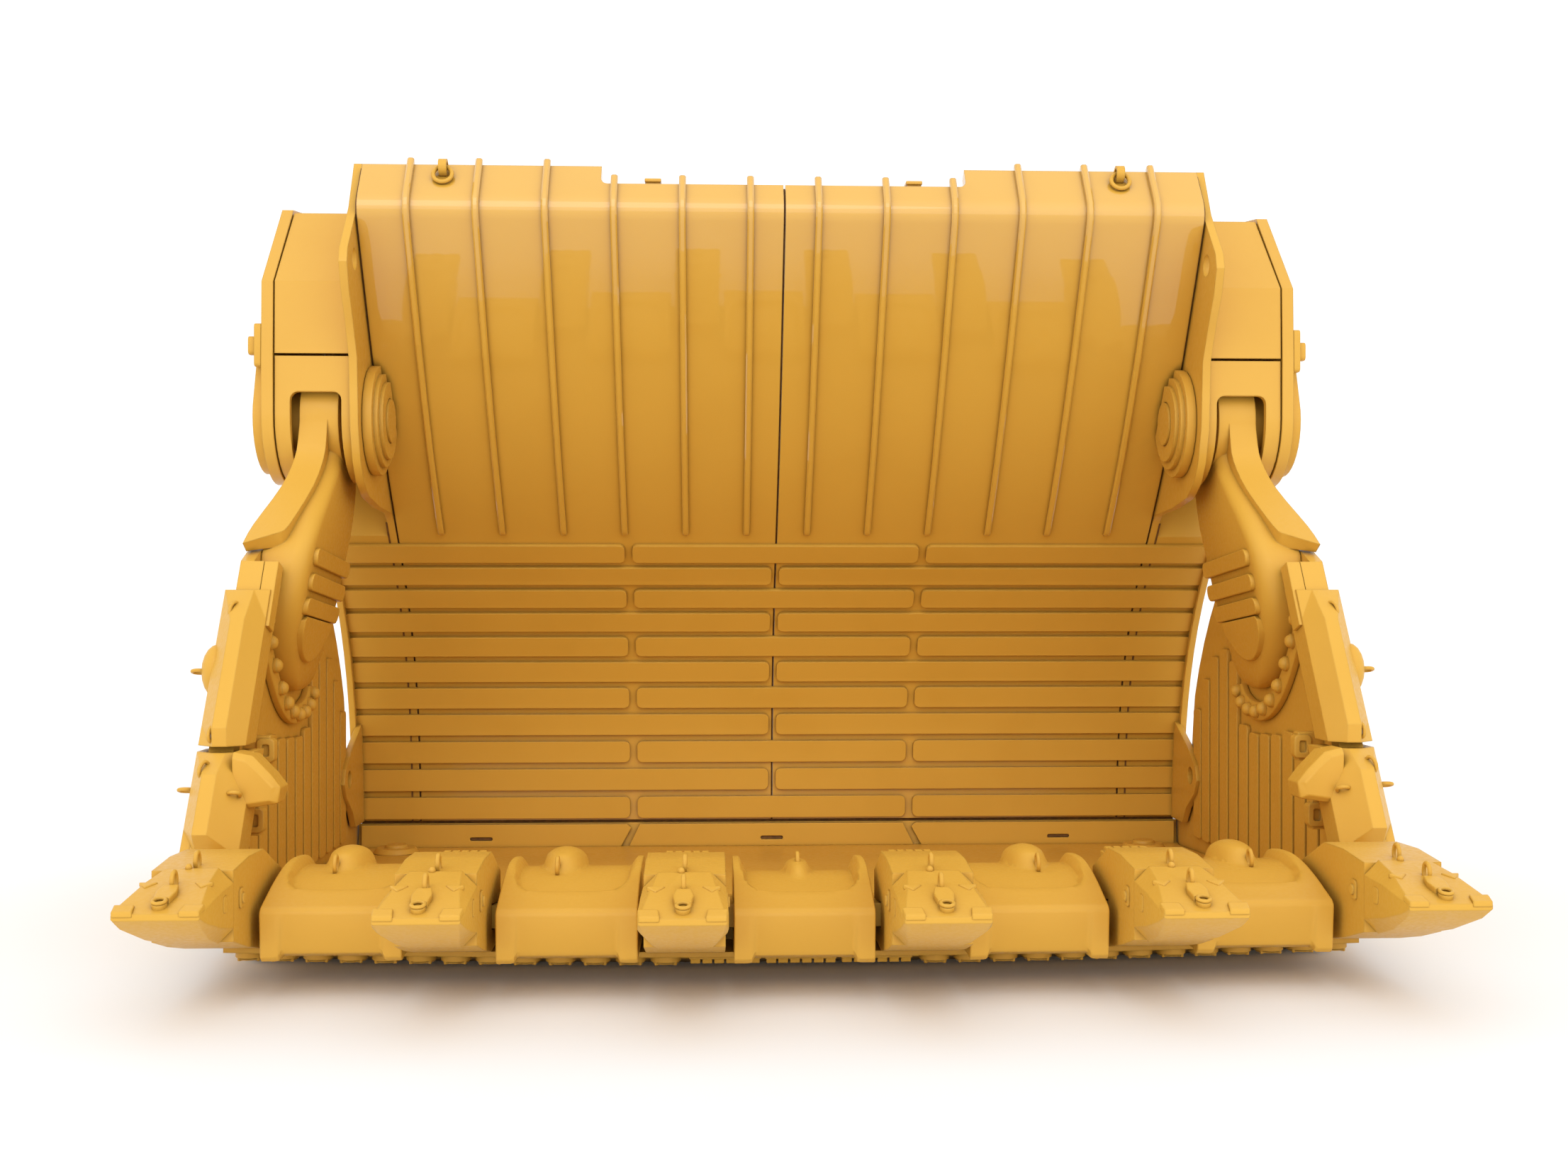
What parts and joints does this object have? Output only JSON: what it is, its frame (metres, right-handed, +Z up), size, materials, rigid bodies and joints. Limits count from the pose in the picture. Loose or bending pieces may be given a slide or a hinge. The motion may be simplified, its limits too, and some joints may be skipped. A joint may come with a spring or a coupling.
{
  "type": "bottom-dump face shovel bucket",
  "caption": "Wide mining shovel bucket: ribbed rear wall, hinged clam with side arms, pointed teeth, lip shrouds, and cylinders that open it for dumping.",
  "frame": {"origin": "middle of the ground footprint, on the plane that the closed bucket stands on", "axes": "-Y is the mouth and teeth side, +Z up, +X across the bucket"},
  "size_m": [5.172, 4.8683, 3.6439],
  "materials": {
    "bucket_paint": "glossy yellow-orange paint",
    "pin_steel": "satin",
    "rod_chrome": "polished"
  },
  "bodies": {
    "rear_body": {"barrel_pin_left": "pin_steel", "barrel_pin_right": "pin_steel", "cylinder_bracket_left": "bucket_paint", "cylinder_bracket_right": "bucket_paint", "housing_cover_lower_left": "bucket_paint", "housing_cover_lower_right": "bucket_paint", "housing_cover_upper_left": "bucket_paint", "housing_cover_upper_right": "bucket_paint", "housing_inner_plate_left": "bucket_paint", "housing_inner_plate_right": "bucket_paint", "housing_outer_plate_left": "bucket_paint", "housing_outer_plate_right": "bucket_paint", "pin_guard_left": "bucket_paint", "pin_guard_right": "bucket_paint", "pivot_pin_left": "bucket_paint", "pivot_pin_right": "bucket_paint", "rear_wall_left": "bucket_paint", "rear_wall_right": "bucket_paint", "rear_wing_left": "bucket_paint", "rear_wing_right": "bucket_paint", "ring_clip_left": "bucket_paint", "ring_clip_right": "bucket_paint", "stick_bracket_left": "bucket_paint", "stick_bracket_right": "bucket_paint"},
    "clam": {"clam_arm_left": "bucket_paint", "clam_arm_right": "bucket_paint", "clam_floor": "bucket_paint", "clam_side_plate_left": "bucket_paint", "clam_side_plate_right": "bucket_paint", "lip_plate": "bucket_paint", "lip_shroud_1": "bucket_paint", "lip_shroud_2": "bucket_paint", "lip_shroud_3": "bucket_paint", "lip_shroud_4": "bucket_paint", "lip_shroud_5": "bucket_paint", "lip_wear_bar": "bucket_paint", "tooth_adapter_1": "bucket_paint", "tooth_adapter_2": "bucket_paint", "tooth_adapter_3": "bucket_paint", "tooth_adapter_4": "bucket_paint", "tooth_adapter_5": "bucket_paint", "tooth_adapter_6": "bucket_paint", "tooth_tip_1": "bucket_paint", "tooth_tip_2": "bucket_paint", "tooth_tip_3": "bucket_paint", "tooth_tip_4": "bucket_paint", "tooth_tip_5": "bucket_paint", "tooth_tip_6": "bucket_paint", "wing_shroud_lower_left": "bucket_paint", "wing_shroud_lower_right": "bucket_paint", "wing_shroud_upper_left": "bucket_paint", "wing_shroud_upper_right": "bucket_paint"},
    "cylinder_barrel_left": {"cylinder_barrel_left": "bucket_paint"},
    "cylinder_barrel_right": {"cylinder_barrel_right": "bucket_paint"},
    "cylinder_rod_left": {"cylinder_rod_left": "rod_chrome"},
    "cylinder_rod_right": {"cylinder_rod_right": "rod_chrome"},
    "lifting_ring_left": {"lifting_ring_left": "bucket_paint"},
    "lifting_ring_right": {"lifting_ring_right": "bucket_paint"}
  },
  "joints": [
    {"name": "clam_opening", "type": "hinge", "parent": "rear_body", "child": "clam", "pos_m": [0, 0.4872, 2.409], "axis": [-1, 0, 0], "range_deg": [0, 40]},
    {"name": "cylinder_swing_right", "type": "hinge", "parent": "rear_body", "child": "cylinder_barrel_right", "pos_m": [2.25, 0.8242, 3.15], "axis": [-1, 0, 0], "range_deg": [0, 8]},
    {"name": "cylinder_extend_right", "type": "slide", "parent": "cylinder_barrel_right", "child": "cylinder_rod_right", "axis": [0, 0.1508, -0.9886], "range_m": [0, 0.29]},
    {"name": "cylinder_swing_left", "type": "hinge", "parent": "rear_body", "child": "cylinder_barrel_left", "pos_m": [-2.25, 0.8242, 3.15], "axis": [-1, 0, 0], "range_deg": [0, 8]},
    {"name": "cylinder_extend_left", "type": "slide", "parent": "cylinder_barrel_left", "child": "cylinder_rod_left", "axis": [0, 0.1508, -0.9886], "range_m": [0, 0.29]},
    {"name": "ring_swing_right", "type": "hinge", "parent": "rear_body", "child": "lifting_ring_right", "pos_m": [1.652, 0.13487, 3.60744], "axis": [-1, 0, 0], "range_deg": [0, 110]},
    {"name": "ring_swing_left", "type": "hinge", "parent": "rear_body", "child": "lifting_ring_left", "pos_m": [-1.652, 0.13487, 3.60744], "axis": [-1, 0, 0], "range_deg": [0, 110]}
  ],
  "couplings": [
    {"joint": "cylinder_swing_right", "follows": "clam_opening", "ratio": 0.1919},
    {"joint": "cylinder_extend_right", "follows": "clam_opening", "m_per_rad": 0.4115},
    {"joint": "cylinder_swing_left", "follows": "clam_opening", "ratio": 0.1919},
    {"joint": "cylinder_extend_left", "follows": "clam_opening", "m_per_rad": 0.4115}
  ]
}
